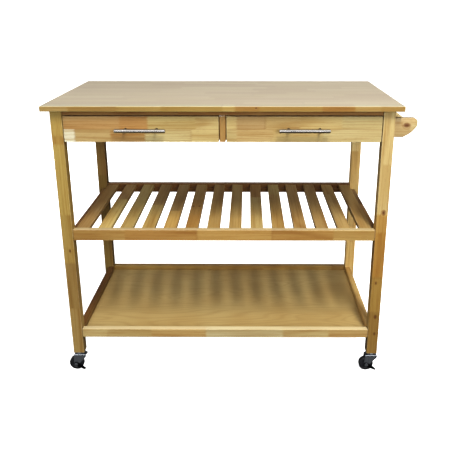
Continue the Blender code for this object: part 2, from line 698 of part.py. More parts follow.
for corner, (side, end) in CORNERS.items():
    place = (side * LEG_X, end * LEG_Y, WHEEL_RADIUS)
    axle = (side * LEG_X - CASTER_TRAIL, end * LEG_Y, WHEEL_RADIUS)
    swivel = empty(f"caster_{corner}_swivel", place, cart)
    has_brake = end < 0
    fork_shape = braked_fork if has_brake else plain_fork
    fork = place_piece(f"caster_{corner}_fork", fork_shape.copy(), place, swivel, CHROME, 0.2, 1.0)
    smooth(fork)
    roller = place_piece(f"caster_{corner}_wheel", wheel.copy(), axle, swivel, BLACK_RUBBER, 0.5)
    roller.rotation_euler = (math.radians(90), 0, 0)
    smooth(roller)
    if has_brake:
        brake = place_piece(f"caster_{corner}_brake", lever.copy(),
                            (axle[0], axle[1] - brake_y, axle[2]), swivel, BLACK_STEEL, 0.4, 0.5)
        smooth(brake)
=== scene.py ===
import math
import random

import bmesh
import bpy
from mathutils import Matrix, Vector


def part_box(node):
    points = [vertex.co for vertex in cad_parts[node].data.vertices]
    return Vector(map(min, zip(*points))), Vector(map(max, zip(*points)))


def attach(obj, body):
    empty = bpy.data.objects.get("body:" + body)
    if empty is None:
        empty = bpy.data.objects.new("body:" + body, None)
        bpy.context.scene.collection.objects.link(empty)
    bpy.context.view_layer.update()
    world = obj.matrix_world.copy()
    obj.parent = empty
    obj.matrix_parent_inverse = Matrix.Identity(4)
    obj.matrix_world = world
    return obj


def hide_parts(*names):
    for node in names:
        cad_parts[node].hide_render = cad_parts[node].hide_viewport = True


# A kitchen island cart in finger-jointed rubberwood, finished with a clear satin lacquer.
# Each section below is one piece, or one group of like pieces, in the order the cart is put together.
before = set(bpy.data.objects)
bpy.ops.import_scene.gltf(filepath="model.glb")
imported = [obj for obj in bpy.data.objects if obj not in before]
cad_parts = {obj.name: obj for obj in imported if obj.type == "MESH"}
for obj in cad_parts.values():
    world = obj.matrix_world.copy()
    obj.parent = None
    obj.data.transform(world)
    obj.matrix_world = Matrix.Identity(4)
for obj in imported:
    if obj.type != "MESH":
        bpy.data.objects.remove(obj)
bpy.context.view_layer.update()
scene = bpy.context.scene

X, Y, Z = 0, 1, 2


# ---------------------------------------------------------------- legs
# Four square posts of rubberwood, each finger-jointed from short lengths and planed to one section.
# The front pair shows the joints and a few knots, and its lower lengths are painted darker as painted
# shade.
# The rear-left leg is painted dark as painted shade, and the rear-right pale as painted light. The casters'
# stems go up the feet.

class Value:
    """A number read from a shader socket. Arithmetic on it adds Math nodes."""

    def __init__(self, shading, socket):
        self.shading = shading
        self.socket = socket

    def math(self, operation, *terms):
        made = self.shading.node("ShaderNodeMath", {"operation": operation}, dict(enumerate(terms)))
        return Value(self.shading, made.outputs[0])

    def __add__(self, other):
        return self.math("ADD", self, other)

    def __radd__(self, other):
        return self.math("ADD", other, self)

    def __sub__(self, other):
        return self.math("SUBTRACT", self, other)

    def __rsub__(self, other):
        return self.math("SUBTRACT", other, self)

    def __mul__(self, other):
        return self.math("MULTIPLY", self, other)

    def __rmul__(self, other):
        return self.math("MULTIPLY", other, self)

    def __truediv__(self, other):
        return self.math("DIVIDE", self, other)

    def __abs__(self):
        return self.math("ABSOLUTE", self)

    def most(self, other):
        return self.math("MAXIMUM", self, other)

    def least(self, other):
        return self.math("MINIMUM", self, other)

    def folded(self, reach):
        """A zigzag that rises from 0 to the reach and falls back."""
        return self.math("PINGPONG", self, reach)

    def above(self, edge):
        """1 where the number is over the edge, and 0 elsewhere."""
        return self.math("GREATER_THAN", self, edge)

    def fade(self, start, end):
        """A smooth step from 0 at start to 1 at end."""
        made = self.shading.node("ShaderNodeMapRange", {"interpolation_type": "SMOOTHSTEP"},
                                 {"Value": self, "From Min": start, "From Max": end})
        return Value(self.shading, made.outputs[0])


class Shading:
    """A node tree that nodes are added to."""

    def __init__(self, tree):
        self.tree = tree

    def node(self, kind, settings=None, sockets=None):
        """Add a node: its settings come first, then the values or links of its sockets."""
        made = self.tree.nodes.new(kind)
        for key, setting in (settings or {}).items():
            if key == "stops":
                self.set_stops(made.color_ramp, setting)
            elif key == "blend_curve":
                made.color_ramp.interpolation = setting
            else:
                setattr(made, key, setting)
        for key, given in (sockets or {}).items():
            given = given.socket if isinstance(given, Value) else given
            if isinstance(given, bpy.types.NodeSocket):
                self.tree.links.new(given, made.inputs[key])
            else:
                made.inputs[key].default_value = given
        return made

    @staticmethod
    def set_stops(ramp, stops):
        while len(ramp.elements) < len(stops):
            ramp.elements.new(1.0)
        for element, (position, colour) in zip(ramp.elements, stops):
            element.position = min(max(position, 0.0), 1.0)
            element.color = colour

    def axes(self, vector):
        parts = self.node("ShaderNodeSeparateXYZ", None, {0: vector})
        return [Value(self, output) for output in parts.outputs]

    def vector(self, *parts):
        return self.node("ShaderNodeCombineXYZ", None, dict(enumerate(parts))).outputs[0]

    def noise(self, vector, stretch=(1, 1, 1), detail=2.0, roughness=0.5, distortion=0.0):
        """Soft noise from 0 to 1, with its own scale along each axis, in cycles per metre."""
        scaled = self.node("ShaderNodeVectorMath", {"operation": "MULTIPLY"}, {0: vector, 1: stretch})
        made = self.node("ShaderNodeTexNoise", None,
                         {"Vector": scaled.outputs[0], "Scale": 1.0, "Detail": detail,
                          "Roughness": roughness, "Distortion": distortion})
        return Value(self, made.outputs[0])

    def distance(self, vector, point, stretch=(1, 1, 1)):
        """How far a place lies from a point, each axis measured with its own scale."""
        near = self.node("ShaderNodeVectorMath", {"operation": "SUBTRACT"}, {0: vector, 1: point})
        scaled = self.node("ShaderNodeVectorMath", {"operation": "MULTIPLY"},
                           {0: near.outputs[0], 1: stretch})
        made = self.node("ShaderNodeVectorMath", {"operation": "LENGTH"}, {0: scaled.outputs[0]})
        return Value(self, made.outputs["Value"])

    def mix(self, share, first, second, blend="MIX"):
        """A colour between two colours."""
        made = self.node("ShaderNodeMix", {"data_type": "RGBA", "blend_type": blend},
                         {0: share, 6: first, 7: second})
        return made.outputs[2]

    def ramp(self, share, stops, blend_curve="LINEAR"):
        made = self.node("ShaderNodeValToRGB", {"stops": stops, "blend_curve": blend_curve}, {0: share})
        return made.outputs[0]

    def brightness(self, colour):
        return Value(self, self.node("ShaderNodeRGBToBW", None, {0: colour}).outputs[0])

    def feed(self, end, socket, given):
        """Link a value or a colour to a socket of a node that is already there."""
        given = given.socket if isinstance(given, Value) else given
        self.tree.links.new(given, end.inputs[socket])


class Finish(Shading):
    """A material built as a node tree round one Principled shader."""

    def __init__(self, name, **constants):
        self.material = bpy.data.materials.new(name)
        self.material.use_nodes = True
        super().__init__(self.material.node_tree)
        self.surface = self.tree.nodes["Principled BSDF"]
        for socket, value in constants.items():
            self.surface.inputs[socket.replace("_", " ")].default_value = value
        coordinates = self.node("ShaderNodeTexCoord")
        self.place = coordinates.outputs["Object"]
        self.facing = coordinates.outputs["Normal"]

    def surface_takes(self, socket, given):
        self.feed(self.surface, socket, given)

    def bump(self, height, strength, distance):
        made = self.node("ShaderNodeBump", None,
                         {"Strength": strength, "Distance": distance, "Height": height})
        self.surface_takes("Normal", made.outputs[0])


def tone(red, green, blue):
    """A colour given as it looks on a screen, 0 to 255, as the linear colour that a shader takes."""
    linear = []
    for part in (red, green, blue):
        part = part / 255
        linear.append(part / 12.92 if part <= 0.04045 else ((part + 0.055) / 1.055) ** 2.4)
    return (*linear, 1.0)


WHITE = (1.0, 1.0, 1.0, 1.0)
BLACK = (0.0, 0.0, 0.0, 1.0)
FINGER_PITCH = 0.0042
FINGER_LENGTH = 0.0075
GLUE_LINE = 0.00035
MOST_LENGTHS = 10
MOST_STOPS = 30
GRAIN_SHIFT = 83.0
KNOT_SWIRL = 1.6
KNOT_REACH = 3.2
KNOT_SQUEEZE = 0.62
END_FLECK = 260.0
WEAR_PATCH = 90.0
WEAR_FROM = 0.0003
WEAR_TO = 0.0022
GRAIN_SHADE = tone(208, 180, 132)
STREAK_SHADE = tone(216, 190, 148)
PORE_SHADE = tone(176, 138, 92)
GLUE_SHADE = tone(188, 150, 104)
KNOT_RING = tone(150, 88, 40)
KNOT_HEART = tone(92, 56, 30)
END_SHADE = tone(205, 170, 126)
WORN_EDGE = tone(255, 238, 206)


def edge_distance(finish, axes, low, high):
    """The distance in metres from the nearest edge of a board, anywhere on its faces."""
    depths = []
    for axis in range(3):
        middle = (low[axis] + high[axis]) / 2
        half = (high[axis] - low[axis]) / 2
        depths.append(half - abs(axes[axis] - middle))
    pairs = [depths[first].most(depths[second]) for first, second in ((X, Y), (Y, Z), (Z, X))]
    return pairs[0].least(pairs[1]).least(pairs[2])


def random_rows(seed, row_count, tones, shortest, longest, length):
    """Rows of jointed lengths, each (where it starts as a share of the board, its tone).

    The lengths lie between the shortest and the longest, in metres, on a board of the given length.
    """
    draw = random.Random(seed)
    rows = []
    for _ in range(row_count):
        start = 0.0
        row = []
        last = None
        while start < 1.0 and len(row) < MOST_LENGTHS:
            choice = draw.choice([one for one in tones if one is not last])
            row.append((start, choice))
            last = choice
            start += draw.uniform(shortest, longest) / length
        rows.append(row)
    return rows


def grained(finish, along, stack, depth, colour, figure, contrast, knots):
    """Add rings, streaks and pores to a colour. It is returned with the bump height and the streaks.

    The shift gives every length its own stretch of the pattern, so the grain breaks at each joint.
    """
    shift = finish.brightness(colour) * GRAIN_SHIFT
    bent = finish.vector(along + shift * 0.37, stack + shift, depth + shift * 0.71)
    swirl = 0.0
    for point, radius in knots:
        away = finish.distance(finish.place, point)
        swirl = swirl + (1 - away.fade(0, radius * KNOT_REACH)) * KNOT_SWIRL
    rings = finish.noise(bent, (1.1, 11.0, 11.0), 1.5, 0.45, 0.25) * figure + swirl
    rings = rings.folded(0.5) * 2
    streaks = finish.noise(bent, (4.0, 210.0, 210.0), 3.0, 0.6)
    pores = finish.noise(bent, (60.0, 1500.0, 1500.0), 1.0, 0.5).fade(0.58, 0.74)
    cloud = finish.noise(bent, (3.5, 16.0, 16.0), 2.0, 0.5)
    colour = finish.mix(rings.fade(0.35, 1.0) * (0.42 * contrast), colour,
                        finish.mix(1.0, colour, GRAIN_SHADE, "MULTIPLY"))
    colour = finish.mix(streaks.fade(0.42, 0.72) * (0.62 * contrast), colour,
                        finish.mix(1.0, colour, STREAK_SHADE, "MULTIPLY"))
    colour = finish.mix(pores * 0.35, colour, finish.mix(1.0, colour, PORE_SHADE, "MULTIPLY"))
    colour = finish.mix(cloud.fade(0.30, 0.75) * 0.30, colour,
                        finish.mix(1.0, colour, STREAK_SHADE, "MULTIPLY"))
    height = streaks * 0.25 - pores * 0.6 - rings * 0.12
    return colour, height, streaks


def hardwood(name, node, grain, stack, rows, figure=5.0, contrast=1.0, knots=(), gloss=0.36, coat=0.25,
             painted_highlight_share=0.0, painted_highlight_colour=None, wear=0.16):
    """A lacquered board of finger-jointed lengths glued up in rows.

    grain is the axis the lengths run along and stack the axis the rows follow one another on.
    Each row lists its lengths as (start, tone), from the board's low end to its high end.
    A knot is (its centre, its radius).
    The upper face can be painted paler towards a given colour, by a given share, as a painted highlight;
    wear is how pale the edges are.
    """
    low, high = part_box(node)
    size = high - low
    finish = Finish(name, Coat_Weight=coat, Coat_Roughness=0.22, IOR=1.5)
    axes = finish.axes(finish.place)
    facing = finish.axes(finish.facing)
    depth_axis = 3 - grain - stack
    depth = axes[depth_axis]
    share = (axes[grain] - low[grain]) / size[grain]
    across = (axes[stack] - low[stack]) / size[stack]
    finger = (axes[stack] + depth).folded(FINGER_PITCH / 2) / (FINGER_PITCH / 2) - 0.5
    jointed = share + finger * (FINGER_LENGTH / size[grain])
    colour = None
    glue = None
    line = GLUE_LINE / size[grain]
    for number, row in enumerate(rows):
        row_colour = finish.ramp(jointed, row, "CONSTANT")
        stops = []
        for start, _ in row[1:]:
            stops += [(start - line, BLACK), (start, WHITE), (start + line, BLACK)]
        row_glue = Value(finish, finish.ramp(jointed, stops[:MOST_STOPS])) if stops else None
        if number == 0:
            colour = row_colour
            glue = row_glue
            continue
        in_row = across.above(number / len(rows))
        colour = finish.mix(in_row, colour, row_colour)
        if glue and row_glue:
            glue = glue * (1 - in_row) + row_glue * in_row
        elif row_glue:
            glue = row_glue * in_row
    if len(rows) > 1:
        row_size = size[stack] / len(rows)
        seam = (across * len(rows)).folded(0.5) * row_size
        seam = 1 - seam.fade(0, GLUE_LINE)
        glue = seam if glue is None else glue.most(seam)
    colour, height, streaks = grained(finish, axes[grain], axes[stack], depth, colour,
                                      figure, contrast, knots)
    if glue is not None:
        colour = finish.mix(glue * 0.75, colour, finish.mix(1.0, colour, GLUE_SHADE, "MULTIPLY"))
        height = height - glue * 0.5
    squeeze = [1.0, 1.0, 1.0]
    squeeze[grain] = KNOT_SQUEEZE
    for point, radius in knots:
        away = finish.distance(finish.place, point, tuple(squeeze))
        ring = (1 - away.fade(radius * 0.75, radius * 1.7)) * 0.85
        colour = finish.mix(ring, colour, finish.mix(0.8, colour, KNOT_RING, "MULTIPLY"))
        colour = finish.mix((1 - away.fade(radius * 0.35, radius * 0.8)) * 0.85, colour, KNOT_HEART)
    end_face = abs(facing[grain]).fade(0.6, 0.9)
    end_rings = finish.noise(finish.place, (END_FLECK, END_FLECK, END_FLECK), 2.0, 0.5)
    colour = finish.mix(end_face, colour, finish.mix(1.0, colour, END_SHADE, "MULTIPLY"))
    colour = finish.mix(end_face * end_rings * 0.5, colour, finish.mix(1.0, colour, PORE_SHADE, "MULTIPLY"))
    # Painted highlight: the upper face is painted paler, standing in for the light falling on it.
    if painted_highlight_share:
        upper_face = facing[Z].fade(0.55, 0.85)
        colour = finish.mix(upper_face * painted_highlight_share, colour, painted_highlight_colour)
    worn = 1 - edge_distance(finish, axes, low, high).fade(WEAR_FROM, WEAR_TO)
    worn = worn * finish.noise(finish.place, (WEAR_PATCH, WEAR_PATCH, WEAR_PATCH), 2.0).fade(0.3, 0.7)
    colour = finish.mix(worn * wear, colour, finish.mix(1.0, colour, WORN_EDGE, "SCREEN"))
    finish.surface_takes("Base Color", colour)
    finish.surface_takes("Roughness", gloss + streaks * 0.10 + worn * 0.08)
    finish.bump(height, 0.22, 0.0006)
    return finish.material


def dress(node, material):
    """Give a CAD node its finished material."""
    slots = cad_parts[node].data.materials
    slots.clear()
    slots.append(material)


PALE_SAP = tone(218, 202, 154)
STRAW = tone(207, 186, 130)
HONEY = tone(197, 171, 110)
TAN = tone(188, 158, 100)
AMBER = tone(181, 142, 80)
BROWN = tone(152, 114, 66)
DEEP_BROWN = tone(122, 88, 50)

LEG_LENGTH = 0.844
# Painted shade and light: the front legs' lower lengths are painted darker, the rear-left leg's shaded
# tones are painted shade, and the rear-right leg's very pale tones are painted light.
SHADED_LEG_TONES = (tone(137, 114, 61), tone(129, 105, 53), tone(143, 116, 64))
leg_rows = {
    "front_left": [[(0.0, tone(157, 134, 83)), (0.20, tone(150, 127, 77)), (0.40, tone(160, 137, 77)),
                    (0.60, tone(171, 150, 87)), (0.872, tone(160, 131, 70)), (0.905, tone(171, 148, 84))]],
    "front_right": [[(0.0, tone(140, 112, 58)), (0.19, tone(151, 122, 63)), (0.34, tone(159, 122, 60)),
                     (0.53, tone(176, 145, 82)), (0.605, tone(186, 166, 115)),
                     (0.80, tone(190, 172, 122))]],
    "rear_left": random_rows(3, 1, SHADED_LEG_TONES, 0.16, 0.34, LEG_LENGTH),
    "rear_right": [[(0.0, tone(225, 197, 131)), (0.24, tone(232, 203, 138)), (0.5, tone(232, 203, 136)),
                    (0.70, tone(255, 238, 177))]],
}
# Each knot on a leg's front face: how far it lies beside the middle, its height, its radius.
leg_knots = {
    "front_left": ((0.004, 0.455, 0.0030),),
    "front_right": ((0.004, 0.589, 0.0050), (-0.004, 0.341, 0.0028), (0.003, 0.215, 0.0038),
                    (0.004, 0.150, 0.0028)),
    "rear_left": (),
    "rear_right": (),
}
for corner, rows in leg_rows.items():
    node = "leg_" + corner
    low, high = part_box(node)
    middle_x = (low.x + high.x) / 2
    knots = [((middle_x + aside, low.y, height), radius) for aside, height, radius in leg_knots[corner]]
    dress(node, hardwood(node + "_wood", node, Z, X, rows, figure=4.0, knots=knots))


# ---------------------------------------------------------------- upper frame
# A thin front rail over the drawers, a deep apron at the back and each end, a divider between the
# drawers and a runner at each side. All are glued and dowelled between the legs, under the worktop.

RAIL_TONES = (HONEY, TAN, AMBER, BROWN)
upper_frame = {
    "top_front_rail": (X, Z, [[(0.0, tone(146, 112, 63)), (0.36, tone(157, 121, 69)),
                               (0.62, tone(150, 114, 65))]]),
    "back_apron": (X, Z, random_rows(11, 2, RAIL_TONES, 0.2, 0.45, 1.0)),
    "left_apron": (Y, Z, random_rows(12, 2, RAIL_TONES, 0.15, 0.3, 0.5)),
    "right_apron": (Y, Z, random_rows(13, 2, RAIL_TONES, 0.15, 0.3, 0.5)),
    "centre_divider": (Z, X, [[(0.0, tone(158, 127, 76))]]),
    "left_drawer_runner": (Y, Z, [[(0.0, TAN)]]),
    "right_drawer_runner": (Y, Z, [[(0.0, HONEY)]]),
}
for node, (grain, stack, rows) in upper_frame.items():
    dress(node, hardwood(node + "_wood", node, grain, stack, rows))


# ---------------------------------------------------------------- slatted shelf
# Fourteen slats run front to back, housed in grooves in the front and back rails, with a rail at each end.
# Each slat is a single length or two jointed ones, so that neighbours differ in tone.

# Painted highlight: the front rail's upper face is painted paler towards this colour, by the last number of
# its entry.
RAIL_PAINTED_HIGHLIGHT = tone(222, 208, 166)
# Painted shade: the back rail's dark tones stand for the shadow under the worktop.
SHADED_RAIL_TONES = (tone(126, 88, 46), tone(114, 80, 40), tone(120, 84, 42))
shelf_rails = {
    "slat_shelf_front_rail": (X, [[(0.0, tone(167, 138, 82)), (0.17, tone(163, 128, 72)),
                                   (0.41, tone(171, 140, 82)), (0.66, tone(163, 130, 74)),
                                   (0.86, tone(173, 148, 92))]], 0.45),
    "slat_shelf_back_rail": (X, random_rows(21, 1, SHADED_RAIL_TONES, 0.2, 0.4, 1.0), 0.0),
    "slat_shelf_left_rail": (Y, [[(0.0, DEEP_BROWN), (0.5, BROWN)]], 0.0),
    "slat_shelf_right_rail": (Y, [[(0.0, BROWN), (0.6, DEEP_BROWN)]], 0.0),
}
for node, (grain, rows, painted_highlight_share) in shelf_rails.items():
    dress(node, hardwood(node + "_wood", node, grain, Z, rows, painted_highlight_share=painted_highlight_share, painted_highlight_colour=RAIL_PAINTED_HIGHLIGHT))

JOINTED_SHARE = 0.6
KNOT_BEFORE_MIDDLE = 0.02
slat_tones = (tone(169, 139, 88), tone(206, 184, 119), tone(199, 180, 119), tone(195, 171, 108),
              tone(199, 167, 99), tone(183, 148, 86), tone(183, 154, 95), tone(191, 165, 106),
              tone(195, 173, 115), tone(187, 158, 99), tone(181, 150, 95), tone(177, 148, 95),
              tone(185, 158, 103), tone(181, 152, 97))
slat_knots = {"shelf_slat_06": ((-0.011, 0.0030), (0.010, 0.0034))}
slats = sorted(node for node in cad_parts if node.startswith("shelf_slat_"))
draw = random.Random(40)
for node, near_tone in zip(slats, slat_tones):
    low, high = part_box(node)
    middle = (low + high) / 2
    rows = [[(0.0, near_tone)]]
    if draw.random() < JOINTED_SHARE:
        rows[0].append((draw.uniform(0.35, 0.75), draw.choice(slat_tones)))
    knots = [((middle.x + aside, middle.y - KNOT_BEFORE_MIDDLE, high.z), radius)
             for aside, radius in slat_knots.get(node, ())]
    dress(node, hardwood(node + "_wood", node, Y, X, rows, figure=4.0, knots=knots))


# ---------------------------------------------------------------- lower shelf
# Four rails with thin ledges carry a loose plywood panel. Its face veneer was peeled from the log,
# so it shows broad arched figure running along the shelf.

BACK_RAIL_TONES = (tone(159, 132, 75), tone(150, 121, 66))
# Painted highlight: the front rail's upper face is painted paler, by the last number of its entry.
lower_rails = {
    "lower_shelf_front_rail": (X, [[(0.0, tone(182, 163, 114)), (0.09, tone(174, 153, 103)),
                                    (0.24, tone(180, 155, 103)), (0.43, tone(190, 182, 145)),
                                    (0.70, tone(178, 159, 112)), (0.86, tone(174, 149, 99))]], 0.6),
    "lower_shelf_back_rail": (X, random_rows(32, 1, BACK_RAIL_TONES, 0.2, 0.4, 1.0), 0.0),
    "lower_shelf_left_rail": (Y, [[(0.0, tone(110, 77, 35)), (0.5, tone(104, 70, 31))]], 0.0),
    "lower_shelf_right_rail": (Y, [[(0.0, tone(214, 184, 122)), (0.45, tone(206, 176, 112))]], 0.0),
}
for node, (grain, rows, painted_highlight_share) in lower_rails.items():
    dress(node, hardwood(node + "_wood", node, grain, Z, rows, painted_highlight_share=painted_highlight_share, painted_highlight_colour=RAIL_PAINTED_HIGHLIGHT))


PLY_THICKNESS = 0.0007


def plywood(name, base, line, grain, figure, gloss=0.40, coat=0.2):
    """Peeled veneer: arched contour lines along the grain, with fine streaks and plies on the sides."""
    finish = Finish(name, Coat_Weight=coat, Coat_Roughness=0.25, IOR=1.5)
    axes = finish.axes(finish.place)
    stretch = [9.0, 9.0, 9.0]
    stretch[grain] = 1.3
    fine = [420.0, 420.0, 420.0]
    fine[grain] = 9.0
    contour = finish.noise(finish.place, tuple(stretch), 1.2, 0.4, 0.35) * figure
    contour = contour.folded(0.5) * 2
    streaks = finish.noise(finish.place, tuple(fine), 3.0, 0.6)
    cloud = finish.noise(finish.place, (5.0, 5.0, 5.0), 2.0)
    colour = finish.mix(cloud.fade(0.3, 0.7) * 0.35, base, finish.mix(1.0, base, STREAK_SHADE, "MULTIPLY"))
    colour = finish.mix(contour.fade(0.40, 1.0) * 0.36, colour, line)
    colour = finish.mix(streaks.fade(0.45, 0.75) * 0.40, colour, line)
    side = 1 - abs(finish.axes(finish.facing)[Z]).fade(0.5, 0.8)
    plies = axes[Z].folded(PLY_THICKNESS) / PLY_THICKNESS
    colour = finish.mix(side * plies.fade(0.4, 0.6), colour,
                        finish.mix(1.0, colour, PORE_SHADE, "MULTIPLY"))
    finish.surface_takes("Base Color", colour)
    finish.surface_takes("Roughness", gloss + streaks * 0.12)
    finish.bump(streaks * 0.3 - contour * 0.15, 0.15, 0.0005)
    return finish.material


panel_veneer = plywood("lower_panel_veneer", tone(182, 159, 106), tone(154, 126, 75), X, 26.0)
dress("lower_shelf_panel", panel_veneer)


# ---------------------------------------------------------------- drawers
# Two plain boxes with grooved sides and a thin bottom; each front is one board glued up from two rows
# of lengths, with the grain level, and hangs 2 mm clear of the legs and the divider.

FRONT_STRAW = tone(187, 175, 129)
FRONT_HONEY = tone(181, 163, 113)
FRONT_TAN = tone(175, 153, 105)
drawer_fronts = {
    "left": [
        [(0.0, tone(208, 205, 181)), (0.070, FRONT_TAN), (0.30, tone(178, 149, 97)), (0.52, FRONT_STRAW),
         (0.82, tone(185, 169, 119))],
        [(0.0, tone(178, 147, 97)), (0.36, tone(174, 138, 85)), (0.54, tone(180, 163, 111)),
         (0.85, FRONT_HONEY)],
    ],
    "right": [
        [(0.0, FRONT_STRAW), (0.065, FRONT_TAN), (0.30, FRONT_HONEY), (0.62, tone(181, 167, 122))],
        [(0.0, FRONT_HONEY), (0.065, tone(165, 140, 95)), (0.25, tone(169, 146, 97)), (0.47, FRONT_HONEY),
         (0.74, tone(179, 165, 119))],
    ],
}
BOX_TONES = (PALE_SAP, STRAW, HONEY)
BOX_GLOSS = 0.5
box_bottom = plywood("drawer_bottom_veneer", tone(214, 190, 142), tone(188, 156, 106), Y, 8.0,
                     gloss=BOX_GLOSS, coat=0.0)
for word, rows in drawer_fronts.items():
    front = word + "_drawer_front"
    dress(front, hardwood(front + "_wood", front, X, Z, rows, figure=6.0))
    for seed, part in enumerate(("left_side", "right_side")):
        node = f"{word}_drawer_{part}"
        rows = random_rows(60 + seed, 1, BOX_TONES, 0.3, 0.5, 0.45)
        dress(node, hardwood(node + "_wood", node, Y, Z, rows, gloss=BOX_GLOSS, coat=0.0))
    node = word + "_drawer_back"
    rows = random_rows(64, 1, BOX_TONES, 0.3, 0.5, 0.45)
    dress(node, hardwood(node + "_wood", node, X, Z, rows, gloss=BOX_GLOSS, coat=0.0))
    dress(word + "_drawer_bottom", box_bottom)


# ---------------------------------------------------------------- drawer handles
# A round stainless bar, brushed along its length and chamfered at both ends, on two duller turned posts,
# their steel painted dark and brownish as painted shade and a painted reflection of the wooden front.
# Each post stands on a small foot and is screwed from behind through the drawer front.

ALONG_X = Matrix.Rotation(math.radians(90), 4, "Y")
ALONG_Y = Matrix.Rotation(math.radians(90), 4, "X")


def lathe(shape, profile, steps, placed, closed=False):
    """Turn a profile of (radius, height) points about the Z axis and put it in place."""
    rings = []
    for radius, height in profile:
        count = steps if radius > 1e-7 else 1
        ring = []
        for step in range(count):
            angle = 2 * math.pi * step / steps
            point = Vector((radius * math.cos(angle), radius * math.sin(angle), height))
            ring.append(shape.verts.new(placed @ point))
        rings.append(ring)
    pairs = list(zip(rings, rings[1:]))
    if closed:
        pairs.append((rings[-1], rings[0]))
    for first, second in pairs:
        for step in range(steps):
            after = (step + 1) % steps
            corners = [first[step % len(first)], first[after % len(first)],
                       second[after % len(second)], second[step % len(second)]]
            kept = list(dict.fromkeys(corners))
            if len(kept) > 2:
                shape.faces.new(kept)


def shown_piece(name, shape, material, body, stands_for=(), sharp=35):
    """Make a finished piece of a bmesh: it rides on a body and may stand for CAD nodes."""
    bmesh.ops.recalc_face_normals(shape, faces=shape.faces)
    mesh = bpy.data.meshes.new(name)
    shape.to_mesh(mesh)
    shape.free()
    mesh.materials.append(material)
    mesh.shade_smooth()
    mesh.set_sharp_from_angle(angle=math.radians(sharp))
    piece = bpy.data.objects.new(name, mesh)
    scene.collection.objects.link(piece)
    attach(piece, body)
    if stands_for:
        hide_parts(*stands_for)
    return piece


BRUSH_LINES = 900.0
BRUSH_BREAKS = 14.0
BRUSH_DEPTH = 0.00002


def steel(name, colour, roughness, brushed_along, strength=0.35):
    """Metal with fine lines along one axis and a few duller patches."""
    finish = Finish(name, Metallic=1.0)
    stretch = [BRUSH_LINES, BRUSH_LINES, BRUSH_LINES]
    stretch[brushed_along] = BRUSH_BREAKS
    lines = finish.noise(finish.place, tuple(stretch), 3.0, 0.6)
    dull = finish.noise(finish.place, (35.0, 35.0, 35.0), 3.0)
    shaded = finish.mix(1.0, colour, tone(196, 194, 190), "MULTIPLY")
    finish.surface_takes("Base Color", finish.mix(lines.fade(0.35, 0.7) * 0.5, colour, shaded))
    finish.surface_takes("Roughness", roughness + lines * 0.12 + dull.fade(0.45, 0.8) * 0.08)
    finish.bump(lines, strength, BRUSH_DEPTH)
    return finish.material


brushed_steel = steel("brushed_stainless", tone(214, 211, 206), 0.13, X)
# Painted shade and reflection: the posts' dark brownish colour stands for shade and the wooden front
# mirrored in them.
shaded_post_steel = steel("shaded_post_steel", tone(96, 87, 76), 0.36, Y)

POST_SPACING = 0.096
POST_RADIUS = 0.0040
FOOT_RADIUS = 0.0046
FOOT_HEIGHT = 0.0010
FOOT_EASE = 0.0005
BAR_STEPS = 48
POST_STEPS = 32
for word in ("left", "right"):
    node = word + "_drawer_handle"
    low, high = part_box(node)
    middle = (low + high) / 2
    half_bar = (high.x - low.x) / 2
    bar_radius = (high.z - low.z) / 2
    bar_y = low.y + bar_radius
    chamfer = bar_radius * 0.16
    bar = [(0, -half_bar), (bar_radius - 2 * chamfer, -half_bar),
           (bar_radius - chamfer * 0.9, -half_bar + chamfer * 0.25),
           (bar_radius, -half_bar + chamfer * 1.2), (bar_radius, 0)]
    bar += [(radius, -height) for radius, height in reversed(bar[:-1])]
    shape = bmesh.new()
    lathe(shape, bar, BAR_STEPS, Matrix.Translation((middle.x, bar_y, middle.z)) @ ALONG_X)
    shown_piece(word + "_bar_handle", shape, brushed_steel, word + "_drawer", (node,))

    foot_y = high.y
    post = [(0, 0), (FOOT_RADIUS, 0), (FOOT_RADIUS, FOOT_HEIGHT * 0.6),
            (FOOT_RADIUS - FOOT_EASE, FOOT_HEIGHT), (POST_RADIUS, FOOT_HEIGHT * 1.3),
            (POST_RADIUS, foot_y - bar_y)]
    shape = bmesh.new()
    for side in (-1, 1):
        post_x = middle.x + side * POST_SPACING / 2
        lathe(shape, post, POST_STEPS, Matrix.Translation((post_x, foot_y, middle.z)) @ ALONG_Y)
    shown_piece(word + "_handle_posts", shape, shaded_post_steel, word + "_drawer")


# ---------------------------------------------------------------- worktop
# One board edge-glued from fourteen rows of finger-jointed staves, sanded and lacquered.
# Its upper face is painted pale as a painted highlight, so it reads as the palest wood on the cart; the
# front stave shows its joints along the edge.

TOP_ROWS = 14
TOP_TONES = (tone(206, 190, 146), tone(196, 176, 122), tone(184, 156, 106), tone(200, 180, 134),
             tone(188, 164, 118), tone(204, 184, 142))
# Painted highlight: the worktop's upper face is painted most of the way towards this pale colour.
TOP_PAINTED_HIGHLIGHT = tone(224, 216, 200)
front_stave = [(0.0, tone(193, 185, 133)), (0.075, tone(189, 179, 119)), (0.21, tone(195, 189, 127)),
               (0.33, tone(191, 183, 117)), (0.50, tone(202, 196, 133)), (0.535, tone(187, 167, 103)),
               (0.60, tone(193, 181, 115)), (0.77, tone(185, 161, 96)), (0.86, tone(200, 192, 135)),
               (0.93, tone(193, 181, 121))]
EDGE_KNOT_SHARE = 0.593
EDGE_KNOT_RISE = 0.003
EDGE_KNOT_RADIUS = 0.0020
top_rows = [front_stave] + random_rows(5, TOP_ROWS - 1, TOP_TONES, 0.18, 0.42, 1.1)
top_low, top_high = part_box("worktop")
knot_x = top_low.x + EDGE_KNOT_SHARE * (top_high.x - top_low.x)
knot_z = (top_low.z + top_high.z) / 2 + EDGE_KNOT_RISE
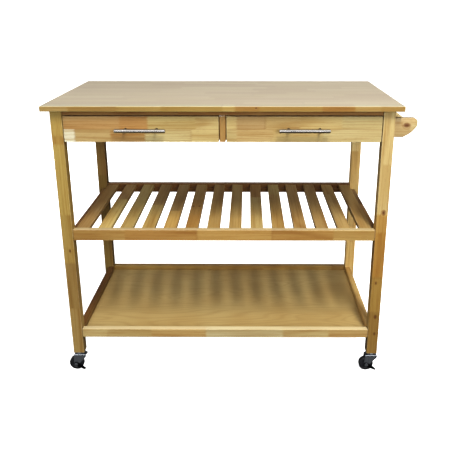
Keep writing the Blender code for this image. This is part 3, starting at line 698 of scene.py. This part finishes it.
top_wood = hardwood("worktop_wood", "worktop", X, Y, top_rows, figure=3.0, contrast=0.7,
                    knots=[((knot_x, top_low.y, knot_z), EDGE_KNOT_RADIUS)],
                    gloss=0.36, coat=0.6, painted_highlight_share=0.60, painted_highlight_colour=TOP_PAINTED_HIGHLIGHT, wear=0.0)
dress("worktop", top_wood)


# ---------------------------------------------------------------- towel rail
# A round rod between two shaped brackets on the right-hand end, under the worktop's overhang.
# Each bracket is screwed to its leg from inside, and holds an end of the rod in a blind socket.

BRACKET_KNOT = 0.0056
BRACKET_NOSE = 0.013
BRACKET_NOSE_DROP = 0.0235
BRACKET_FOOT = 0.028
SWEEP_BULGE = 0.0045
SWEEP_STEPS = 20
EASED_EDGE = 0.0016
SHARP_FROM = 32
ROD_STEPS = 56
ROD_EASE = 0.001


def arc(centre, radius, start, end, steps):
    """Points along an arc, with its angles in degrees."""
    angles = [math.radians(start + (end - start) * step / steps) for step in range(steps + 1)]
    return [(centre[0] + radius * math.cos(a), centre[1] + radius * math.sin(a)) for a in angles]


def plate(shape, outline, thickness, placed, eased=0.0, segments=2):
    """Thicken an outline in X and Y about Z = 0, ease its edges and put it in place."""
    piece = bmesh.new()
    face = piece.faces.new([piece.verts.new((x, y, -thickness / 2)) for x, y in outline])
    grown = bmesh.ops.extrude_face_region(piece, geom=[face])
    moved = [part for part in grown["geom"] if isinstance(part, bmesh.types.BMVert)]
    bmesh.ops.translate(piece, verts=moved, vec=(0, 0, thickness))
    bmesh.ops.recalc_face_normals(piece, faces=piece.faces)
    if eased:
        sharp = [edge for edge in piece.edges if edge.calc_face_angle(0) > math.radians(SHARP_FROM)]
        bmesh.ops.bevel(piece, geom=sharp, offset=eased, segments=segments, profile=0.5, affect="EDGES")
    piece.transform(placed)
    merged = bpy.data.meshes.new("merged")
    piece.to_mesh(merged)
    piece.free()
    shape.from_mesh(merged)
    bpy.data.meshes.remove(merged)


def bracket_outline(reach, height):
    """From the leg outwards: square at the leg, round-nosed, swept up underneath."""
    start = Vector((BRACKET_FOOT, 0))
    end = Vector((reach, height - BRACKET_NOSE_DROP))
    bulge = Vector((end.y - start.y, start.x - end.x)).normalized() * SWEEP_BULGE
    shares = [step / SWEEP_STEPS for step in range(SWEEP_STEPS + 1)]
    sweep = [start.lerp(end, share) + bulge * math.sin(math.pi * share) for share in shares]
    nose = arc((reach - BRACKET_NOSE, height - BRACKET_NOSE), BRACKET_NOSE, 0, 90, 18)
    return [(0, 0)] + [tuple(point) for point in sweep] + nose + [(0, height)]


UPRIGHT = Matrix.Rotation(math.radians(90), 4, "X")
bracket_rows = {
    "front": [[(0.0, tone(176, 155, 112)), (0.70, tone(185, 168, 124))]],
    "rear": [[(0.0, HONEY)]],
}
rod_low, rod_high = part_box("towel_rod")
rod_middle = (rod_low + rod_high) / 2
for word, rows in bracket_rows.items():
    node = "towel_bracket_" + word
    low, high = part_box(node)
    shape = bmesh.new()
    placed = Matrix.Translation((low.x, (low.y + high.y) / 2, low.z)) @ UPRIGHT
    plate(shape, bracket_outline(high.x - low.x, high.z - low.z), high.y - low.y, placed, EASED_EDGE, 3)
    knot = ((rod_middle.x + 0.001, low.y, rod_middle.z - 0.001), BRACKET_KNOT)
    knots = [knot] if word == "front" else []
    material = hardwood(node + "_wood", node, X, Z, rows, figure=6.0, knots=knots)
    shown_piece(f"towel_rail_{word}_bracket", shape, material, "cart_frame", (node,))

rod_radius = (rod_high.x - rod_low.x) / 2
half_rod = (rod_high.y - rod_low.y) / 2
shape = bmesh.new()
rod = [(0, -half_rod), (rod_radius - ROD_EASE, -half_rod), (rod_radius, -half_rod + ROD_EASE)]
rod += [(radius, -height) for radius, height in reversed(rod)]
lathe(shape, rod, ROD_STEPS, Matrix.Translation(rod_middle) @ ALONG_Y)
rod_rows = random_rows(71, 1, (STRAW, PALE_SAP), 0.3, 0.5, 0.55)
rod_wood = hardwood("towel_rod_wood", "towel_rod", Y, X, rod_rows)
shown_piece("towel_rail_rod", shape, rod_wood, "cart_frame", ("towel_rod",))


# ---------------------------------------------------------------- casters
# Bright-plated swivel casters on stems: a bearing cup, a pressed fork riveted under it, and a black
# wheel on a bolt. The two at the front have a black pressed brake lever on the bolt, outside the fork.

chrome = steel("bright_chrome", tone(206, 212, 220), 0.10, Z, 0.08)
black_steel = steel("black_enamelled_steel", tone(38, 38, 41), 0.32, Z, 0.15)


def rubber(name, base, roughness):
    """Moulded black rubber or nylon with a dusty bloom and a fine pitted skin."""
    finish = Finish(name, IOR=1.5)
    bloom = finish.noise(finish.place, (60.0, 60.0, 60.0), 3.0)
    pits = finish.noise(finish.place, (1400.0, 1400.0, 1400.0), 2.0)
    finish.surface_takes("Base Color", finish.mix(bloom.fade(0.4, 0.8) * 0.5, base, tone(58, 60, 64)))
    finish.surface_takes("Roughness", roughness + bloom * 0.15)
    finish.bump(pits, 0.12, 0.0003)
    return finish.material


tyre_rubber = rubber("tyre_rubber", tone(24, 24, 26), 0.38)
hub_nylon = rubber("hub_nylon", tone(30, 31, 34), 0.28)

WHEEL_RADIUS = 0.025
CUP_RADIUS = 0.018
STEM_RADIUS = 0.0055
FORK_PLATE = 0.002
FORK_INSIDE = 0.0115
FORK_BEND = 0.0034
FORK_HALF_WIDTH = 0.021
FORK_TOP = 0.0372
FORK_SHOULDER = 0.0085
FORK_FOOT = 0.012
FORK_EASE = 0.003
LUG_RADIUS = 0.008
AXLE_RADIUS = 0.004
RIVET_RADIUS = 0.0064
RIVET_HEIGHT = 0.0015
RIVET_STEPS = 32
LYING = Matrix.Rotation(math.radians(90), 4, "Z") @ UPRIGHT


def fork_shape(trail):
    """A strip bent to a yoke over the wheel, its cheeks tapering to round lugs at the axle."""
    outside = FORK_INSIDE + FORK_PLATE
    inner_bend = FORK_BEND - FORK_PLATE
    bend_centre = (outside - FORK_BEND, FORK_TOP - FORK_BEND)
    outer = [(outside, -FORK_FOOT)] + arc(bend_centre, FORK_BEND, 0, 90, 8)
    inner = arc(bend_centre, inner_bend, 90, 0, 8) + [(FORK_INSIDE, -FORK_FOOT)]
    section = outer + [(-y, z) for y, z in reversed(outer)]
    section += [(-y, z) for y, z in reversed(inner)] + inner
    yoke = bmesh.new()
    plate(yoke, section, 3 * FORK_HALF_WIDTH, LYING)
    lug = arc((-trail, 0), LUG_RADIUS, 165, 330, 16)
    shoulder = FORK_TOP - FORK_SHOULDER
    over = FORK_TOP + 0.001
    eased = FORK_TOP - FORK_EASE
    cheek = [(FORK_HALF_WIDTH - FORK_EASE, over), (-FORK_HALF_WIDTH + FORK_EASE, over),
             (-FORK_HALF_WIDTH, eased), (-FORK_HALF_WIDTH, shoulder)] + lug
    cheek += [(FORK_HALF_WIDTH, shoulder), (FORK_HALF_WIDTH, eased)]
    cutter = bmesh.new()
    plate(cutter, cheek, 4 * outside, UPRIGHT)
    objects = []
    for name, part in (("yoke", yoke), ("cheek", cutter)):
        mesh = bpy.data.meshes.new(name)
        part.to_mesh(mesh)
        part.free()
        objects.append(bpy.data.objects.new(name, mesh))
        scene.collection.objects.link(objects[-1])
    cut = objects[0].modifiers.new("cut", "BOOLEAN")
    cut.operation = "INTERSECT"
    cut.object = objects[1]
    bpy.context.view_layer.update()
    depsgraph = bpy.context.evaluated_depsgraph_get()
    mesh = bpy.data.meshes.new_from_object(objects[0].evaluated_get(depsgraph))
    for spent in objects:
        bpy.data.objects.remove(spent)
    return mesh


LEVER_UNDER = 0.0045
LEVER_OVER = 0.003
LEVER_BLUNT = 0.0022
LEVER_SHORT = 0.002


def lever_outline(tip):
    """The brake lever's arm, from a round lug at the axle to its blunt tip."""
    heading = math.degrees(math.atan2(tip.y, tip.x))
    along = tip.normalized()
    across = Vector((-along.y, along.x))
    lug = arc((0, 0), LUG_RADIUS, heading + 75, heading + 285, 18)
    under = tip - across * LEVER_UNDER - along * LEVER_SHORT
    over = tip + across * LEVER_OVER - along * LEVER_SHORT
    blunt = arc(tip - across * 0.001, LEVER_BLUNT, heading - 60, heading + 60, 5)
    return lug + [tuple(under)] + blunt + [tuple(over)]


SWIVEL_TRAIL = 0.015
CUP_TOP = 0.0717
CUP_EASE = 0.0012
CUP_RIM = 0.0042
CUP_GROOVE = 0.0013
BOWL_TOP = CUP_TOP - 0.0057
BOWL_RADIUS = CUP_RADIUS - 0.0006
BOWL_TAPER = 0.0042
BOWL_DEPTH = 0.0034
CUP_FOOT = (0.0105, CUP_TOP - 0.0104)
CUP_STEPS = 64
STEM_LENGTH = 0.036
STEM_POINT = 0.002
yoke_mesh = fork_shape(SWIVEL_TRAIL)
cup_profile = [(0, CUP_TOP + STEM_LENGTH), (STEM_RADIUS * 0.8, CUP_TOP + STEM_LENGTH),
               (STEM_RADIUS, CUP_TOP + STEM_LENGTH - STEM_POINT), (STEM_RADIUS, CUP_TOP),
               (CUP_RADIUS - CUP_EASE, CUP_TOP), (CUP_RADIUS, CUP_TOP - CUP_EASE)]
cup_profile += [(CUP_RADIUS, CUP_TOP - CUP_RIM), (CUP_RADIUS - CUP_GROOVE, CUP_TOP - CUP_RIM - 0.0005),
                (CUP_RADIUS - CUP_GROOVE, CUP_TOP - CUP_RIM - 0.0010), (BOWL_RADIUS, BOWL_TOP)]
for angle in (30, 60, 90):
    taper = BOWL_TAPER * math.sin(math.radians(angle)) ** 2
    cup_profile.append((BOWL_RADIUS - taper, BOWL_TOP - BOWL_DEPTH * angle / 90))
cup_profile += [CUP_FOOT, (0, CUP_FOOT[1])]

TREAD_HALF = 0.0097
TREAD_ROUND = 0.0042
WHEEL_STEPS = 72
tread = arc((WHEEL_RADIUS - TREAD_ROUND, TREAD_HALF - TREAD_ROUND), TREAD_ROUND, 90, 12, 6)
tyre_profile = [(0.0182, 0.0080), (0.0188, 0.0092), (0.0194, TREAD_HALF)] + tread
tyre_profile += [(radius, -height) for radius, height in reversed(tyre_profile)]
hub_side = [(0.0184, 0.0078), (0.0170, 0.0076), (0.0152, 0.0062), (0.0105, 0.0060), (0.0095, 0.0068),
            (0.0088, 0.0096), (0.0068, 0.0097), (AXLE_RADIUS + 0.0003, 0.0094)]
hub_profile = hub_side + [(radius, -height) for radius, height in reversed(hub_side)]

BRAKE_TIP = Vector((0.032, -0.016))
PEDAL_BACK = 0.0062
PEDAL_OUTLINE = ((-0.006, -0.0045), (0.005, -0.0050), (0.006, -0.0040), (0.006, 0.0050), (-0.006, 0.0050))
RIB_OUTLINE = ((-0.0005, -0.0038), (0.0005, -0.0038), (0.0005, 0.0042), (-0.0005, 0.0042))
RIB_SPACING = 0.003
RIB_HEIGHT = 0.0008

for corner in leg_rows:
    fork_low, fork_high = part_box(f"caster_{corner}_fork")
    wheel_low, wheel_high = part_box(f"caster_{corner}_wheel")
    axle = (wheel_low + wheel_high) / 2
    swivel = Vector((axle.x + SWIVEL_TRAIL, axle.y, 0))
    swivel_body = f"caster_{corner}_swivel"

    shape = bmesh.new()
    lathe(shape, cup_profile, CUP_STEPS, Matrix.Translation(swivel))
    shown_piece(f"caster_{corner}_bearing_cup", shape, chrome, swivel_body)

    shape = bmesh.new()
    shape.from_mesh(yoke_mesh)
    shape.transform(Matrix.Translation((swivel.x, swivel.y, axle.z)))
    shown_piece(f"caster_{corner}_yoke", shape, chrome, swivel_body,
                (f"caster_{corner}_fork",))

    shape = bmesh.new()
    front_head = axle.y - fork_low.y
    rear_head = fork_high.y - axle.y
    for reach, turn in ((front_head, ALONG_Y), (rear_head, ALONG_Y.inverted())):
        dome = [(0, 0), (AXLE_RADIUS, 0), (AXLE_RADIUS, reach - RIVET_HEIGHT),
                (RIVET_RADIUS, reach - RIVET_HEIGHT), (RIVET_RADIUS, reach - RIVET_HEIGHT * 0.6),
                (RIVET_RADIUS * 0.8, reach - RIVET_HEIGHT * 0.2), (RIVET_RADIUS * 0.45, reach), (0, reach)]
        lathe(shape, dome, RIVET_STEPS, Matrix.Translation(axle) @ turn)
    shown_piece(f"caster_{corner}_axle_bolt", shape, chrome, swivel_body)

    shape = bmesh.new()
    lathe(shape, tyre_profile, WHEEL_STEPS, Matrix.Translation(axle) @ ALONG_Y, closed=True)
    shown_piece(f"caster_{corner}_tyre", shape, tyre_rubber, f"caster_{corner}_wheel",
                (f"caster_{corner}_wheel",))
    shape = bmesh.new()
    lathe(shape, hub_profile, WHEEL_STEPS, Matrix.Translation(axle) @ ALONG_Y, closed=True)
    shown_piece(f"caster_{corner}_hub", shape, hub_nylon, f"caster_{corner}_wheel")

    if corner.startswith("front"):
        node = f"caster_{corner}_brake"
        low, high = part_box(node)
        shape = bmesh.new()
        arm = Matrix.Translation((axle.x, high.y - FORK_PLATE / 2, axle.z)) @ UPRIGHT
        plate(shape, lever_outline(BRAKE_TIP), FORK_PLATE, arm, 0.0005, 2)
        middle = BRAKE_TIP - BRAKE_TIP.normalized() * PEDAL_BACK
        pedal = Matrix.Translation((axle.x + middle.x, (low.y + high.y) / 2, axle.z + middle.y))
        pedal = pedal @ Matrix.Rotation(-math.atan2(BRAKE_TIP.y, BRAKE_TIP.x), 4, "Y")
        plate(shape, PEDAL_OUTLINE, FORK_PLATE, pedal, 0.0006, 2)
        for offset in (-RIB_SPACING, 0.0, RIB_SPACING):
            rib = pedal @ Matrix.Translation((offset, 0, FORK_PLATE / 2))
            plate(shape, RIB_OUTLINE, RIB_HEIGHT, rib, 0.0003)
        shown_piece(f"caster_{corner}_brake_lever", shape, black_steel, node, (node,))


# ---------------------------------------------------------------- studio
# A pale floor in a white room, lit softly from in front, from high on the right, and fainter from the
# left and behind. The camera stands in front, a little above the worktop.

def floor_paint():
    """A matt white floor with the faintest unevenness, glowing a little so that it reads as white."""
    finish = Finish("studio_floor_paint", Roughness=0.9, Specular_IOR_Level=0.1, Emission_Strength=0.80)
    cloud = finish.noise(finish.place, (0.6, 0.6, 0.6), 2.0)
    finish.surface_takes("Base Color", finish.mix(cloud, tone(246, 246, 246), tone(250, 250, 250)))
    finish.surface_takes("Emission Color", finish.mix(cloud, tone(248, 248, 248), WHITE))
    return finish.material


FLOOR_HALF = 2000.0
shape = bmesh.new()
bmesh.ops.create_grid(shape, x_segments=4, y_segments=4, size=FLOOR_HALF)
floor_mesh = bpy.data.meshes.new("studio_floor")
shape.to_mesh(floor_mesh)
shape.free()
floor_mesh.materials.append(floor_paint())
floor = bpy.data.objects.new("studio_floor", floor_mesh)
floor.visible_diffuse = False
floor.visible_glossy = False
scene.collection.objects.link(floor)

# The room is bright overhead, with a faint band at the horizon, and dims towards the back. Each stop is
# (how far up from straight down to straight up, how bright). Seen directly it is plain white.
SKY = ((0.0, 0.06), (0.24, 0.14), (0.46, 0.06), (0.50, 0.30), (0.57, 0.30), (0.61, 0.05), (0.70, 0.08),
       (0.80, 0.85), (1.0, 1.00))
BACK_SHARE = 0.36
BACK_FROM = -0.2
BACK_TO = 0.6
world = bpy.data.worlds.new("studio")
scene.world = world
world.use_nodes = True
room = Shading(world.node_tree)
heading = room.axes(room.node("ShaderNodeTexCoord").outputs["Generated"])
height = room.node("ShaderNodeMapRange", None, {"Value": heading[Z], "From Min": -1.0}).outputs[0]
glow = room.ramp(height, [(place, (level, level, level, 1.0)) for place, level in SKY])
dimmed = room.node("ShaderNodeMapRange", None,
                   {"Value": heading[Y], "From Min": BACK_FROM, "From Max": BACK_TO,
                    "To Min": 1.0, "To Max": BACK_SHARE}).outputs[0]
seen = room.node("ShaderNodeLightPath").outputs["Is Camera Ray"]
background = world.node_tree.nodes["Background"]
room.feed(background, "Strength", Value(room, dimmed).most(seen))
room.feed(background, "Color", room.mix(seen, glow, WHITE))


def softbox(name, place, target, width, height, power, mirror_only=False):
    """A soft light aimed at a point. One for mirroring shows in glossy surfaces and lights nothing else."""
    lamp = bpy.data.lights.new(name, "AREA")
    lamp.shape = "RECTANGLE"
    lamp.size = width
    lamp.size_y = height
    lamp.energy = power
    stand = bpy.data.objects.new(name, lamp)
    stand.location = place
    stand.rotation_mode = "QUATERNION"
    stand.rotation_quaternion = (Vector(target) - Vector(place)).to_track_quat("-Z", "Y")
    stand.visible_camera = False
    stand.visible_glossy = mirror_only
    stand.visible_diffuse = not mirror_only
    scene.collection.objects.link(stand)


FRAME_HEART = (0.0, 0.0, 0.5)
SHELF_HEART = (0.0, 0.0, 0.6)
softbox("key_lamp", (0.80, -2.6, 4.0), (0.80, 0.0, 0.5), 0.35, 1.8, 180.0)
softbox("front_softbox", (0.9, -3.7, 1.6), FRAME_HEART, 1.8, 1.0, 90.0)
softbox("mirror_strip", (0.0, -3.7, 2.1), SHELF_HEART, 6.0, 0.8, 60.0, True)
softbox("left_softbox", (-4.0, -1.2, 1.0), SHELF_HEART, 1.6, 1.0, 24.0)
softbox("back_softbox", (-0.7, 3.9, 0.95), SHELF_HEART, 2.0, 1.0, 80.0)

CAMERA_PLACE = (0.0524, -2.1897, 1.2352)
CAMERA_TILT = -19.47
CAMERA_TURN = 0.28
CAMERA_SHIFT = (-0.0431, -0.0091)
LENS = 50.2
SENSOR_WIDTH = 36.0
camera_data = bpy.data.cameras.new("camera")
camera_data.lens = LENS
camera_data.sensor_width = SENSOR_WIDTH
camera_data.clip_end = 2 * FLOOR_HALF
camera_data.shift_x, camera_data.shift_y = CAMERA_SHIFT
camera = bpy.data.objects.new("camera", camera_data)
camera.location = CAMERA_PLACE
camera.rotation_euler = (math.radians(90 + CAMERA_TILT), 0.0, math.radians(CAMERA_TURN))
scene.collection.objects.link(camera)
scene.camera = camera
scene.view_settings.view_transform = "Standard"
scene.view_settings.gamma = 0.86
scene.view_settings.exposure = 0.12
